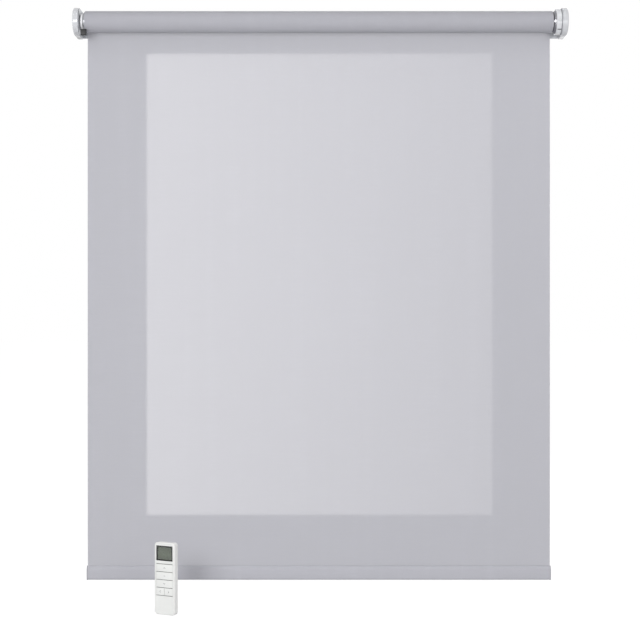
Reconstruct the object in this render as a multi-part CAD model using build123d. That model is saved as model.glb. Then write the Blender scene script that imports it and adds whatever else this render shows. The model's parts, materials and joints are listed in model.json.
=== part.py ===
from build123d import *
import math
import os

# Motorised roller blind with its hand-held remote. Millimetres; X to the viewer's right, Y into the wall,
# Z up. The origin is the middle of the four wall screws, on the wall.

# Whole blind
width = 1000.0            # over both end covers
drop = 1138.0             # roll axis down to the bottom of the hem
wall_to_axis = 36.0       # wall to the middle of the roll
part_gap = 0.3            # between pieces that turn or slide past each other
fit = 0.1                 # radial play of a pushed-in piece
running_fit = 0.06        # radial play of a shaft or pin in its bore

# Brackets and end covers
sheet = 2.5               # bracket steel
plate_radius = 26.0       # rounded front of the side plate
flange_reach = 22.4       # wall flange, inwards from the side plate
flange_height = 52.0
flange_corner = 3.0
screw_pitch = 24.0        # the two wall screws of one bracket, up and down
screw_hole_radius = 2.25
screw_inset = 11.4        # inner face of the side plate to the screw column
bend_radius = 2.0
cover_skin = 2.0
cover_wall = 1.8
cover_edge = 1.6          # bevelled outer edge of a cover
cover_space = 9.1         # outer face of a cover to the side plate
cover_lap = 1.7           # the rim reaches this far over the plate's edge
post_side = 5.0           # square posts inside a cover, each with a peg into the side plate
peg_side = 2.8
peg_length = 2.0
peg_circle = 20.5
peg_angles = (60.0, 180.0, 300.0)

# Roller tube
tube_radius = 19.0
tube_wall = 1.0
rib_width = 3.0
rib_height = 2.0

# Cloth
cloth_thickness = 0.4
cloth_left_bare = 1.1     # bare tube left of the cloth
cloth_right_bare = 1.1    # bare tube right of the cloth
wound_turns = 6
tape_width = 12.0
tape_thickness = 0.25
hem_height = 28.5
hem_depth = 9.0
hem_weld = 3.0            # welded strip at the top of the pocket
bar_height = 22.5
bar_wall = 1.1
bar_web = 1.2
hem_cap_thick = 1.6
hem_cap_rim = 0.5
hem_tongue = 14.0

# Idler end, on the left
slot_angle = 135.0        # open slot for the pin, up and towards the room
latch_thick = 2.0
latch_pivot = (-6.0, -14.0)
latch_pivot_radius = 2.4
latch_boss_radius = 4.6
latch_elbow = (-9.5, -1.0)
latch_elbow_radius = 2.5
latch_nose = (-5.0, 5.0)
latch_nose_radius = 3.3
grip_middle = (-18.2, -24.6)
grip_reach = 15.6         # finger grip, inwards from the blade's outer face
grip_size = (5.0, 13.0)
grip_edge = 1.2
grip_socket = 6.0         # the blade's stem goes this far into the grip
stem_share = 0.55         # stem between blade and grip, as a share of the grip
pin_radius = 3.0
pin_tip = 3.6             # pin beyond the outer face of the side plate
pin_collar_radius = 6.4
pin_collar_thick = 2.0
pin_tail_radius = 2.4
pin_tail = 5.0            # tail beyond the plug at rest
plug_hub_radius = 15.4
plug_hub_length = 6.5
plug_lip_thick = 1.2
plug_lip_over = 0.4       # lip beyond the tube
plug_floor = 4.0          # behind the spring
bush_radius = 7.0
bush_length = 6.0
spring_wire = 1.2
spring_radius = 5.0
spring_turns = 4
spring_runs = 9           # straight runs in each turn
spring_end_room = 0.2
spring_length = 20.0

# Motor end, on the right
head_radius = 26.0
head_thick = 12.0
head_spigot = 9.0         # length pushed into the motor case
square_side = 10.0        # square peg between head and side plate
square_length = 2.2
head_screw_radius = 1.95
head_screw_circle = 15.0
head_screw_depth = 7.0
head_screw_head = (3.6, 2.2)
crown_lip = 5.0           # length of the funnel outside the tube
crown_radius = 24.0
crown_step = 0.6
crown_length = 12.0
case_radius = 14.0
case_wall = 0.9
button_angle = 24.0       # degrees below level, on the front of the head's rim
button_radius = 2.2
button_length = 4.4
button_proud = 0.4
button_travel = 0.5
light_angle = 4.0
light_radius = 1.3
light_length = 3.0
light_proud = 0.1
socket_angle = 46.0
socket_size = (7.8, 2.9)
socket_depth = 5.0
socket_wall = 0.35
board_gap = 14.0          # head to control board
board_size = (84.0, 20.0, 1.4)
cell_radius = 9.1
cell_length = 66.0
cell_gap = 12.0           # control board to battery
cradle_thick = 4.0
motor_length = 56.0
motor_gap = 4.0           # battery to motor
motor_nose = (5.0, 2.0)   # collar between motor and gearbox
gearbox_length = 60.0
bearing_length = 8.0
shaft_radius = 4.0
shaft_square = 6.4
shaft_seat = 10.0         # shaft inside the gearbox
wheel_length = 20.0
wheel_gap = 4.0           # motor case to drive wheel
wheel_rim = 2.6
wheel_hub = 13.0
wheel_spokes = 4
wheel_spoke = 3.0
clip_thick = 1.4
clip_side = 11.0
clip_groove = 0.7
shaft_end = 3.0

# Hand-held remote, standing on the floor in front of the hem
floor_gap = 40.0          # hem to floor
remote_at = (-300.0, -150.0)
remote_turn = -25.0
remote_width = 45.0
remote_thick = 14.0
remote_corner = 6.0
corner_cut = 0.85         # straight cut of the inner corners, as a share of their radius
remote_wall = 1.6
remote_edge = 1.2
remote_ledge = 1.6
remote_ledge_thick = 1.2
face_thick = 1.6
face_seam = 0.15
key_width = 36.5
key_pitch = 15.3
key_line = 1.0            # dark line between keys
key_first_line = 37.6     # lowest line above the remote's foot
key_rows = 4
key_side_gap = 0.3
key_proud = 0.2
key_back = 2.1            # key depth behind the face
key_flange = 1.0
key_flange_thick = 0.4
key_travel = 0.8
key_split = 0.6
window_width = 36.5
window_height = 29.0
window_gap = 6.2          # highest dark line to the window
window_top = 6.0          # window to the top of the remote
bezel_rim = 2.1
bezel_flange = 0.6
bezel_flange_thick = 0.8
lens_thick = 0.8
lens_sunk = 0.4
mat_thick = 0.8
dome_height = 0.2
dome_side = 4.0
grille_sunk = 0.25        # bars between the keys, behind the face
circuit_thick = 1.0
circuit_width = 38.4
circuit_margin = 14.0
cell_disc_radius = 12.25
cell_disc_thick = 5.0
cell_height = 62.0        # coin cell above the remote's foot
contact_thick = 0.4
contact_width = 9.0
holder_wall = 1.2
twist_radius = 15.0
twist_thick = 1.4
twist_slot = (14.0, 1.8, 0.7)
back_thick = 1.6
back_lip = 2.4
back_lip_wall = 1.2
boss_side = 4.4
boss_inset = 5.0          # screw posts from the remote's side
small_screw_radius = 0.95
small_screw_head = (1.9, 0.9)
small_screw_length = 7.0

# Places along the roll, worked out from the sizes above
half_width = width / 2
plate_outer = half_width - cover_space
plate_inner = plate_outer - sheet
latch_inner = plate_inner - part_gap - latch_thick
plug_end = latch_inner - part_gap
tube_left = -(plug_end - plug_hub_length - plug_lip_thick)
head_inner = plate_inner - head_thick
tube_right = head_inner - part_gap - crown_lip
bore_radius = tube_radius - tube_wall
plug_radius = bore_radius - fit
cloth_left = tube_left + cloth_left_bare
cloth_right = tube_right - cloth_right_bare
tape_inner = tube_radius + fit
tape_radius = tape_inner + tape_thickness
wound_inner = tape_radius + fit
wound_outer = wound_inner + wound_turns * cloth_thickness
cloth_front = -wall_to_axis + wound_outer + part_gap
cloth_middle = cloth_front + cloth_thickness / 2
hem_top = -drop + hem_height
floor_level = -drop - floor_gap

# Inside the motor case, from the head inwards
board_end = head_inner - head_spigot - board_gap
battery_end = board_end - board_size[0] - cell_gap
battery_start = battery_end - 2 * cell_length
motor_start = battery_start - motor_gap - motor_length
gearbox_end = motor_start - motor_nose[1]
gearbox_start = gearbox_end - gearbox_length
case_end = gearbox_start - bearing_length
case_bore = case_radius - case_wall - fit
wheel_end = case_end - wheel_gap
wheel_start = wheel_end - wheel_length
shaft_core = shaft_square - 2 * clip_groove


def turned(*corners):
    # Solid turned about the roll axis from corners given as (x, radius)
    outline = make_face(Polyline(*[(x, 0, radius) for x, radius in corners], close=True))
    return Pos(0, -wall_to_axis, 0) * revolve(outline, Axis.X)


def ring(start, end, outer, inner=0.0):
    return turned((start, inner), (end, inner), (end, outer), (start, outer))


def side_slab(outline, start, end):
    # Side view outline, drawn about the roll axis as (towards wall, up), from x = start to x = end
    return extrude(Plane.YZ.offset(start) * (Pos(-wall_to_axis, 0) * outline), amount=end - start)


def bullet(radius, back_gap):
    # Round front about the roll axis and straight edges back to the wall
    depth = wall_to_axis - back_gap
    return Circle(radius) + Pos(depth / 2, 0) * Rectangle(depth, 2 * radius)


def peg_places():
    for angle in peg_angles:
        turn = math.radians(angle)
        yield peg_circle * math.cos(turn), peg_circle * math.sin(turn)


def rib_notch(start, end):
    # Room for the rib inside the tube
    reach = rib_height + tube_wall
    height = bore_radius - rib_height - fit + reach / 2
    return Pos((start + end) / 2, -wall_to_axis, height) * Box(end - start, rib_width + 2 * fit, reach)


def bracket_blank():
    # Right-hand bracket: side plate, wall flange and the bend that joins them
    plate = side_slab(bullet(plate_radius, 0), plate_inner, plate_outer)
    middle = plate_outer - (sheet + flange_reach) / 2
    flange_face = Pos(middle, 0) * Rectangle(sheet + flange_reach, flange_height)
    flange = extrude(Plane.XZ * flange_face, amount=sheet)
    flange = chamfer(flange.edges().filter_by(Axis.Y).sort_by(Axis.X)[:2], flange_corner)
    flange = chamfer(flange.edges().filter_by(Axis.Y).sort_by(Axis.X)[-2:], bend_radius)
    blank = plate + flange
    hole = Cylinder(screw_hole_radius, 3 * sheet, rotation=(90, 0, 0))
    for height in (-screw_pitch / 2, screw_pitch / 2):
        blank -= Pos(plate_inner - screw_inset, 0, height) * hole
    for back, up in peg_places():
        hole = Rectangle(peg_side + 2 * fit, peg_side + 2 * fit)
        blank -= side_slab(Pos(back, up) * hole, plate_inner, plate_outer)
    return blank


def bracket_right():
    blank = bracket_blank()
    blank -= side_slab(Rectangle(square_side + 2 * fit, square_side + 2 * fit), plate_inner, plate_outer)
    for place in head_screw_places():
        blank -= side_slab(Pos(place) * eight_sided(head_screw_radius + fit), plate_inner, plate_outer)
    return blank


def bracket_left():
    blank = mirror(bracket_blank(), Plane.YZ)
    slot_radius = pin_radius + running_fit
    slot_mouth = Pos(plate_radius / 2, 0) * Rectangle(plate_radius, 2 * slot_radius)
    blank -= side_slab(Circle(slot_radius) + Rot(0, 0, slot_angle) * slot_mouth, -plate_outer, -plate_inner)
    pivot = Pos(latch_pivot) * Circle(latch_pivot_radius + running_fit)
    return blank - side_slab(pivot, -plate_outer, -plate_inner)


def cover():
    # Right-hand end cover: a cup that closes over the side plate, with posts and pegs
    rim_radius = plate_radius + part_gap + cover_wall
    rim_end = plate_outer - cover_lap
    cup = side_slab(bullet(rim_radius, sheet + part_gap), rim_end, half_width)
    outer_edges = cup.faces().sort_by(Axis.X)[-1].edges()
    rear = outer_edges.sort_by(Axis.Y)[-1]
    cup = chamfer([edge for edge in outer_edges if edge != rear], cover_edge)
    cup -= side_slab(bullet(plate_radius + part_gap, 0), rim_end, half_width - cover_skin)
    for back, up in peg_places():
        post = Pos(back, up) * Rectangle(post_side, post_side)
        peg = Pos(back, up) * Rectangle(peg_side, peg_side)
        cup += side_slab(post, plate_outer, half_width - cover_skin)
        cup += side_slab(peg, plate_outer - peg_length, plate_outer)
    return cup


def tube():
    shape = ring(tube_left, tube_right, tube_radius, bore_radius)
    rib_low = bore_radius - rib_height
    rib_top = bore_radius + tube_wall / 2
    place = Pos((tube_left + tube_right) / 2, -wall_to_axis, (rib_low + rib_top) / 2)
    return shape + place * Box(tube_right - tube_left, rib_width, rib_top - rib_low)


def wound_cloth():
    # Two half turns of falling radius, with a step of one cloth thickness at the back, where the cloth
    # leaves the roll
    drift = cloth_thickness / 4
    start = (wound_outer, 0)
    front = (2 * drift - wound_outer, 0)
    end = (wound_outer - cloth_thickness, 0)
    over = ThreePointArc(start, (drift, wound_outer - drift), front)
    under = ThreePointArc(front, (-drift, 3 * drift - wound_outer), end)
    outline = make_face(over + under + Line(end, start)) - Circle(wound_inner)
    return side_slab(outline, cloth_left, cloth_right)


def cloth_tape():
    shape = ring(cloth_left, cloth_right, tape_radius, tape_inner)
    window = Pos((cloth_left + cloth_right) / 2, -wall_to_axis - tape_radius / 2, 0)
    return shape & (window * Box(cloth_right - cloth_left, tape_radius, tape_width))


def hanging_cloth():
    length = -hem_top
    place = Pos((cloth_left + cloth_right) / 2, cloth_middle, -length / 2)
    return place * Box(cloth_right - cloth_left, cloth_thickness, length)


def hem_outline(grow=0.0):
    # Teardrop pocket section, its weld at the top, drawn about the middle of the cloth
    low = Pos(0, -drop + hem_depth / 2) * Circle(hem_depth / 2 + grow)
    high = Pos(0, -drop + bar_height - hem_depth / 4) * Circle(hem_depth / 2 + grow)
    weld = Pos(0, hem_top - cloth_thickness) * Circle(cloth_thickness + grow)
    return make_hull((low + high + weld).edges())


def bar_outline(shrink=0.0):
    bar_depth = hem_depth - 2 * cloth_thickness - 2 * fit
    middle = -drop + cloth_thickness + fit + bar_height / 2
    return Pos(0, middle) * SlotOverall(bar_height - 2 * shrink, bar_depth - 2 * shrink, rotation=90)


def hem_slab(outline, start, end):
    return extrude(Plane.YZ.offset(start) * (Pos(cloth_middle, 0) * outline), amount=end - start)


def hem_pocket():
    peak = Pos(0, hem_top - hem_weld) * Circle(cloth_thickness / 2)
    inner = make_hull((offset(bar_outline(), fit) + peak).edges())
    return hem_slab(hem_outline() - inner, cloth_left, cloth_right)


def hem_bar():
    hollow = bar_outline(bar_wall)
    web = Pos(0, -drop + cloth_thickness + bar_height / 2) * Rectangle(hem_depth, bar_web)
    return hem_slab(bar_outline() - (hollow - web), cloth_left, cloth_right)


def hem_cap(start, end, tongue_start, tongue_end):
    # Plate with two tongues, one on each side of the bar's web
    tongue_depth = hem_depth - 2 * cloth_thickness - 2 * bar_wall - 4 * fit
    low = bar_web / 2 + fit
    high = bar_height / 2 - bar_wall - tongue_depth / 2
    shape = hem_slab(hem_outline(hem_cap_rim), start, end)
    for side in (-1, 1):
        height = -drop + cloth_thickness + bar_height / 2 + side * (low + high) / 2
        tongue = Pos(0, height) * Rectangle(tongue_depth, high - low)
        shape += hem_slab(tongue, tongue_start, tongue_end)
    return shape


def idler_plug():
    front = -plug_end
    lip = tube_left - plug_lip_thick
    floor = -plug_end + bush_length + pin_collar_thick + spring_length
    back = floor + plug_floor
    lip_radius = tube_radius + plug_lip_over
    bore = bush_radius + fit / 2
    shape = turned((front, bore), (floor, bore), (floor, 0), (back, 0), (back, plug_radius),
                   (tube_left, plug_radius), (tube_left, lip_radius), (lip, lip_radius),
                   (lip, plug_hub_radius), (front, plug_hub_radius))
    tail_side = 2 * (pin_tail_radius + fit)
    shape -= Pos((floor + back) / 2, -wall_to_axis, 0) * Box(back - floor, tail_side, tail_side)
    return shape - rib_notch(tube_left, back)


def idler_bush():
    return ring(-plug_end, -plug_end + bush_length, bush_radius, pin_radius + running_fit)


def idler_pin():
    tip = -plate_outer - pin_tip
    collar = -plug_end + bush_length
    spring_face = collar + pin_collar_thick
    tail = spring_face + spring_length + plug_floor + pin_tail
    return turned((tip, 0), (tip, pin_radius), (collar, pin_radius), (collar, pin_collar_radius),
                  (spring_face, pin_collar_radius), (spring_face, pin_tail_radius), (tail, pin_tail_radius),
                  (tail, 0))


def idler_spring():
    # Square wire bent in short straight runs
    start = -plug_end + bush_length + pin_collar_thick + spring_wire / 2 + spring_end_room
    rise = spring_length - spring_wire - 2 * spring_end_room
    runs = spring_turns * spring_runs
    corners = []
    for count in range(runs + 1):
        turn = 2 * math.pi * count / spring_runs
        around = Vector(0, spring_radius * math.cos(turn) - wall_to_axis, spring_radius * math.sin(turn))
        corners.append(around + Vector(start + rise * count / runs, 0, 0))
    path = Polyline(*corners)
    section = Plane(path @ 0, x_dir=(1, 0, 0), z_dir=path % 0) * Rectangle(spring_wire, spring_wire)
    return sweep(section, path, transition=Transition.RIGHT)


def stem_outline(grow=0.0):
    breadth, height = grip_size
    return Pos(grip_middle) * Rectangle(stem_share * breadth + 2 * grow, stem_share * height + 2 * grow)


def pin_latch():
    # Gate across the pin slot, with a stem turned in under the roll
    boss = Pos(latch_pivot) * Circle(latch_boss_radius)
    elbow = Pos(latch_elbow) * Circle(latch_elbow_radius)
    nose = Pos(latch_nose) * Circle(latch_nose_radius)
    outline = make_hull((boss + elbow).edges())
    outline += make_hull((elbow + nose).edges())
    outline += make_hull((boss + stem_outline()).edges())
    outline -= Circle(pin_radius + part_gap)
    outer = -plate_inner + part_gap
    blade = side_slab(outline, outer, outer + latch_thick)
    stem = side_slab(stem_outline(), outer, outer + 2 * latch_thick + grip_socket)
    pivot = side_slab(Pos(latch_pivot) * Circle(latch_pivot_radius), -plate_outer - part_gap, outer)
    return blade + stem + pivot


def latch_grip():
    # Finger grip pushed on the stem
    outer = -plate_inner + part_gap
    start = outer + 2 * latch_thick
    grip = side_slab(Pos(grip_middle) * Rectangle(*grip_size), start, outer + grip_reach)
    grip = chamfer(grip.edges().filter_by(Axis.X), grip_edge)
    return grip - side_slab(stem_outline(fit), start, start + grip_socket)


def eight_sided(radius):
    # Outline of a screw's shank and of its hole
    return RegularPolygon(radius, 8)


def head_screw_places():
    for side in (-1, 1):
        yield 0.0, side * head_screw_circle


def rim_tool(angle, inner, outer, outline):
    # A sketch pushed along a radius of the head, on the front of its rim
    turn = math.radians(angle)
    out = Vector(0, -math.cos(turn), -math.sin(turn))
    start = Vector(head_inner + head_thick / 2, -wall_to_axis, 0) + out * inner
    return extrude(Plane(start, x_dir=(1, 0, 0), z_dir=out) * outline, amount=outer - inner)


def motor_head():
    spigot = case_radius - case_wall - fit
    shape = ring(head_inner, plate_inner, head_radius) + ring(head_inner - head_spigot, head_inner, spigot)
    shape += side_slab(Rectangle(square_side, square_side), plate_inner, plate_inner + square_length)
    for place in head_screw_places():
        hole = Pos(place) * eight_sided(head_screw_radius + fit / 2)
        shape -= side_slab(hole, plate_inner - head_screw_depth, plate_inner)
    outside = head_radius + part_gap
    button_well = head_radius + button_proud - button_length - button_travel - part_gap
    shape -= rim_tool(button_angle, button_well, outside, Circle(button_radius + fit))
    light_well = head_radius + light_proud - light_length
    shape -= rim_tool(light_angle, light_well, outside, Circle(light_radius + fit / 2))
    opening = Rectangle(*socket_size)
    return shape - rim_tool(socket_angle, head_radius - socket_depth, outside, opening)


def setting_button():
    start = head_radius + button_proud - button_length
    return rim_tool(button_angle, start, head_radius + button_proud, Circle(button_radius))


def status_light():
    end = head_radius + light_proud
    return rim_tool(light_angle, end - light_length, end, Circle(light_radius))


def charging_socket():
    # Steel shell and contact tongue of a small charging socket
    shell = Rectangle(*socket_size)
    hollow = Rectangle(socket_size[0] - 2 * socket_wall, socket_size[1] - 2 * socket_wall)
    floor = head_radius - socket_depth
    mouth = head_radius - part_gap
    shape = rim_tool(socket_angle, floor, mouth, shell - hollow)
    shape += rim_tool(socket_angle, floor, floor + socket_wall, shell)
    tongue = Rectangle(socket_size[0] / 2, socket_size[1] / 5)
    return shape + rim_tool(socket_angle, floor, mouth - socket_depth / 5, tongue)


def head_screws():
    # Two screws with hexagon heads
    group = []
    head, thick = head_screw_head
    start = plate_inner - head_screw_depth
    for place in head_screw_places():
        shank = side_slab(Pos(place) * eight_sided(head_screw_radius), start, plate_outer)
        hexagon = Pos(place) * RegularPolygon(head, 6)
        group.append(shank + side_slab(hexagon, plate_outer, plate_outer + thick))
    return Compound(children=group)


def motor_crown():
    lip = head_inner - part_gap
    inner = case_radius + part_gap
    start = tube_right - crown_length
    shape = turned((start, inner), (lip, inner), (lip, crown_radius), (tube_right, tube_radius + crown_step),
                   (tube_right, plug_radius), (start, plug_radius))
    return shape - rib_notch(start, tube_right)


def motor_case():
    return ring(case_end, head_inner, case_radius, case_radius - case_wall)


def control_board():
    # Circuit board with its parts, held by its edges in two rails
    length, breadth, thick = board_size
    middle = board_end - length / 2
    shape = Pos(middle, -wall_to_axis, 0) * Box(length, breadth, thick)
    shape += Pos(middle, -wall_to_axis, thick) * Box(length / 7, breadth / 2, thick)
    shape += Pos(middle - length / 3, -wall_to_axis, thick) * Box(length / 9, breadth * 0.7, thick)
    plug = Pos(board_end - length / 12, -wall_to_axis, -2 * thick)
    shape += plug * Box(length / 10, breadth / 2, 3 * thick)
    rail_start = breadth / 2 - thick
    rail_end = case_bore - thick / 2
    for side in (-1, 1):
        rail = Pos(middle, -wall_to_axis + side * (rail_start + rail_end) / 2, 0)
        shape += rail * Box(length, rail_end - rail_start, 2 * thick)
    return shape


def battery_pack():
    # Two cells end to end in square cradles that fill the case from corner to corner
    shape = ring(battery_start, battery_end, cell_radius)
    side = case_bore * math.sqrt(2) - fit
    for middle in (battery_start + cradle_thick / 2, battery_end - cradle_thick / 2):
        shape += Pos(middle, -wall_to_axis, 0) * Box(cradle_thick, side, side)
    return shape


def dc_motor():
    can = ring(motor_start, motor_start + motor_length, case_bore)
    return can + ring(gearbox_end, motor_start, motor_nose[0])


def gearbox():
    can = ring(gearbox_start, gearbox_end, case_bore)
    return can - ring(gearbox_start, gearbox_start + shaft_seat + part_gap, shaft_radius + running_fit)


def end_bearing():
    return ring(case_end, gearbox_start, case_bore, shaft_radius + running_fit)


def output_shaft():
    tip = wheel_start - clip_thick - shaft_end
    shape = ring(wheel_end, gearbox_start + shaft_seat, shaft_radius)
    shape += Pos((tip + wheel_end) / 2, -wall_to_axis, 0) * Box(wheel_end - tip, shaft_square, shaft_square)
    groove_place = Pos(wheel_start - clip_thick / 2, -wall_to_axis, 0)
    neck = groove_place * Box(clip_thick, shaft_core, shaft_core)
    return shape - (groove_place * Box(clip_thick, shaft_square, shaft_square) - neck)


def drive_wheel():
    # Rim, hub and spokes, with a notch for the rib inside the tube
    middle = (wheel_start + wheel_end) / 2
    rim = Circle(plug_radius) - RegularPolygon(plug_radius - wheel_rim, 8, major_radius=False)
    shape = side_slab(rim, wheel_start, wheel_end)
    shape += Pos(middle, -wall_to_axis, 0) * Box(wheel_length, wheel_hub, wheel_hub)
    arm_inner = wheel_hub / 4
    arm_length = plug_radius - wheel_rim / 2 - arm_inner
    for count in range(wheel_spokes):
        arm = Pos(middle, 0, arm_inner + arm_length / 2) * Box(wheel_length, wheel_spoke, arm_length)
        shape += Pos(0, -wall_to_axis, 0) * Rot(360 / wheel_spokes * (count + 0.5), 0, 0) * arm
    side = shaft_square + 2 * fit
    shape -= Pos(middle, -wall_to_axis, 0) * Box(wheel_length, side, side)
    return shape - rib_notch(wheel_start, wheel_end)


def drive_clip():
    # Open clip in the shaft's groove, against the wheel
    thick = clip_thick - fit
    place = Pos(wheel_start - thick / 2, -wall_to_axis, 0)
    mouth = shaft_core + 2 * fit
    drop_open = Pos(0, 0, -clip_side / 4) * Box(thick, mouth, clip_side / 2 + mouth)
    return place * (Box(thick, clip_side, clip_side) - drop_open)


# The remote is drawn with its foot at z = 0, its face looking along -Y and its middle at y = 0
face_front = -remote_thick / 2
face_back = face_front + face_thick
back_outer = remote_thick / 2
back_inner = back_outer - back_thick
circuit_face = face_front + key_back + key_travel + fit + dome_height + mat_thick
circuit_rear = circuit_face + circuit_thick
opening_bottom = key_first_line - key_line / 2
opening_top = key_first_line + key_rows * key_pitch + key_line / 2
opening_width = key_width + 2 * key_side_gap
window_bottom = opening_top - key_line / 2 + window_gap
window_middle = window_bottom + window_height / 2
remote_length = window_bottom + window_height + window_top


def panel(outline, front, back):
    return extrude(Plane.XZ.offset(-back) * outline, amount=back - front)


def remote_outline(inset=0.0):
    corner = remote_corner - inset
    middle = Pos(0, remote_length / 2)
    return middle * RectangleRounded(remote_width - 2 * inset, remote_length - 2 * inset, corner)


def remote_cut_outline(inset):
    # The same outline with its corners cut straight
    middle = Pos(0, remote_length / 2)
    plain = Rectangle(remote_width - 2 * inset, remote_length - 2 * inset)
    return middle * chamfer(plain.vertices(), corner_cut * (remote_corner - inset))


def boss_places():
    # Two screw posts, between the keys and the window
    between = (opening_top + window_bottom - bezel_flange) / 2
    for across in (-remote_width / 2 + boss_inset, remote_width / 2 - boss_inset):
        yield across, between


def handset_frame():
    shell = panel(remote_outline(), face_front, back_inner)
    shell = chamfer(shell.faces().sort_by(Axis.Y)[0].edges(), remote_edge)
    shell -= panel(remote_outline(remote_wall), face_front, back_inner)
    ledge = remote_outline(remote_wall) - remote_cut_outline(remote_wall + remote_ledge)
    shell += panel(ledge, face_back, face_back + remote_ledge_thick)
    for place in boss_places():
        boss = Pos(place) * Rectangle(boss_side, boss_side)
        shell += panel(boss, face_back, back_inner)
        bore = Pos(place) * eight_sided(small_screw_radius + fit / 2)
        shell -= panel(bore, back_inner - small_screw_length, back_inner)
    return shell


def key_opening():
    middle = (opening_bottom + opening_top) / 2
    return Pos(0, middle) * Rectangle(opening_width, opening_top - opening_bottom)


def face_plate():
    outline = remote_outline(remote_wall + face_seam)
    window = Pos(0, window_middle) * Rectangle(window_width + 2 * fit, window_height + 2 * fit)
    return panel(outline - key_opening() - window, face_front, face_back)


def key(row, left, right):
    # One flush key, with a flange behind the face at each outer end
    low = key_first_line + row * key_pitch + key_line / 2
    high = low + key_pitch - key_line
    middle = (low + high) / 2
    body = Pos((left + right) / 2, middle) * Rectangle(right - left, high - low)
    cap = panel(body, face_front - key_proud, face_front + key_back)
    cap = chamfer(cap.faces().sort_by(Axis.Y)[0].edges(), key_proud)
    edge_left = left - key_flange if left <= -key_width / 2 else left
    edge_right = right + key_flange if right >= key_width / 2 else right
    strip = Pos((edge_left + edge_right) / 2, middle) * Rectangle(edge_right - edge_left, high - low)
    back = face_front + key_back
    return cap + panel(strip, back - key_flange_thick, back)


def display_bezel():
    outer = Pos(0, window_middle) * Rectangle(window_width, window_height)
    inner = Pos(0, window_middle) * Rectangle(window_width - 2 * bezel_rim, window_height - 2 * bezel_rim)
    flange = 2 * bezel_flange
    wide = Pos(0, window_middle) * Rectangle(window_width + flange, window_height + flange)
    frame = panel(outer - inner, face_front, face_back)
    return frame + panel(wide - inner, face_back, face_back + bezel_flange_thick)


def display_lens():
    side = 2 * bezel_rim + 2 * fit
    outline = Pos(0, window_middle) * Rectangle(window_width - side, window_height - side)
    return panel(outline, face_front + lens_sunk, face_front + lens_sunk + lens_thick)


def display_panel():
    outline = Pos(0, window_middle) * Rectangle(window_width, window_height)
    return panel(outline, face_back + bezel_flange_thick, circuit_face)


def dome_mat():
    low = opening_bottom + key_line
    high = opening_top - key_line
    sheet_shape = Pos(0, (low + high) / 2) * Rectangle(key_width, high - low)
    mat = panel(sheet_shape, circuit_face - mat_thick, circuit_face)
    places = [(0, row + 0.5) for row in range(1, key_rows)]
    places += [(-key_width / 4, 0.5), (key_width / 4, 0.5)]
    for across, row in places:
        dome = Pos(across, key_first_line + row * key_pitch) * Rectangle(dome_side, dome_side)
        mat += panel(dome, circuit_face - mat_thick - dome_height, circuit_face)
    return mat


def key_grille():
    # Dark bars in the lines between the keys, carried by two rails beside the key mat
    half = key_width / 2
    outer = half + key_flange - fit
    bar_back = circuit_face - mat_thick - fit
    low = key_first_line - key_line / 2 + fit
    shape = None
    for row in range(key_rows + 1):
        middle = key_first_line + row * key_pitch
        front_bar = Pos(0, middle) * Rectangle(2 * half, key_line - 2 * fit)
        wide_bar = Pos(0, middle) * Rectangle(2 * outer, key_line - 2 * fit)
        bar = panel(front_bar, face_front + grille_sunk, bar_back)
        bar += panel(wide_bar, face_back + fit, bar_back)
        shape = bar if shape is None else shape + bar
    high = key_first_line + key_rows * key_pitch + key_line / 2 - fit
    rail_outline = Rectangle(outer - half - fit, high - low)
    for side in (-1, 1):
        rail = Pos(side * (half + outer + fit) / 2, (low + high) / 2) * rail_outline
        shape += panel(rail, face_front + key_back + key_travel + fit, circuit_face)
    return shape


def handset_board():
    length = remote_length - 2 * circuit_margin
    outline = Pos(0, remote_length / 2) * Rectangle(circuit_width, length)
    for place in boss_places():
        outline -= Pos(place) * Rectangle(boss_side + 2 * part_gap, boss_side + 2 * part_gap)
    return panel(outline, circuit_face, circuit_rear)


def battery_contacts():
    group = []
    strip = Pos(0, cell_height) * Rectangle(contact_width, 2 * cell_disc_radius - contact_width / 2)
    group.append(panel(strip, circuit_rear, circuit_rear + contact_thick))
    pad_height = cell_height + twist_radius + holder_wall + contact_width / 2
    pad = Pos(0, pad_height) * Rectangle(contact_width, contact_width / 3)
    group.append(panel(pad, circuit_rear, circuit_rear + contact_thick))
    return Compound(children=group)


def coin_cell():
    front = circuit_rear + contact_thick
    disc = Pos(0, cell_height) * Circle(cell_disc_radius)
    return panel(disc, front, front + cell_disc_thick)


def handset_back():
    shell = panel(remote_outline(), back_inner, back_outer)
    shell = chamfer(shell.faces().sort_by(Axis.Y)[-1].edges(), remote_edge)
    lip_inset = remote_wall + fit
    lip = remote_cut_outline(lip_inset) - remote_cut_outline(lip_inset + back_lip_wall)
    shell += panel(lip, back_inner - back_lip, back_inner)
    head, thick = small_screw_head
    for place in boss_places():
        boss = Pos(place) * Rectangle(boss_side + 2 * fit, boss_side + 2 * fit)
        shell -= panel(boss, back_inner - back_lip, back_inner)
        shell -= panel(Pos(place) * eight_sided(head + fit), back_outer - thick, back_outer)
        shell -= panel(Pos(place) * eight_sided(small_screw_radius + fit), back_inner, back_outer - thick)
    middle = Pos(0, cell_height)
    seat = back_outer - twist_thick
    holder_side = 2 * (twist_radius + holder_wall)
    holder = Rectangle(holder_side, holder_side) - Circle(cell_disc_radius + fit)
    shell -= panel(middle * Circle(twist_radius + fit), back_inner, back_outer)
    return shell + panel(middle * holder, circuit_rear + contact_thick, seat)


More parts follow.
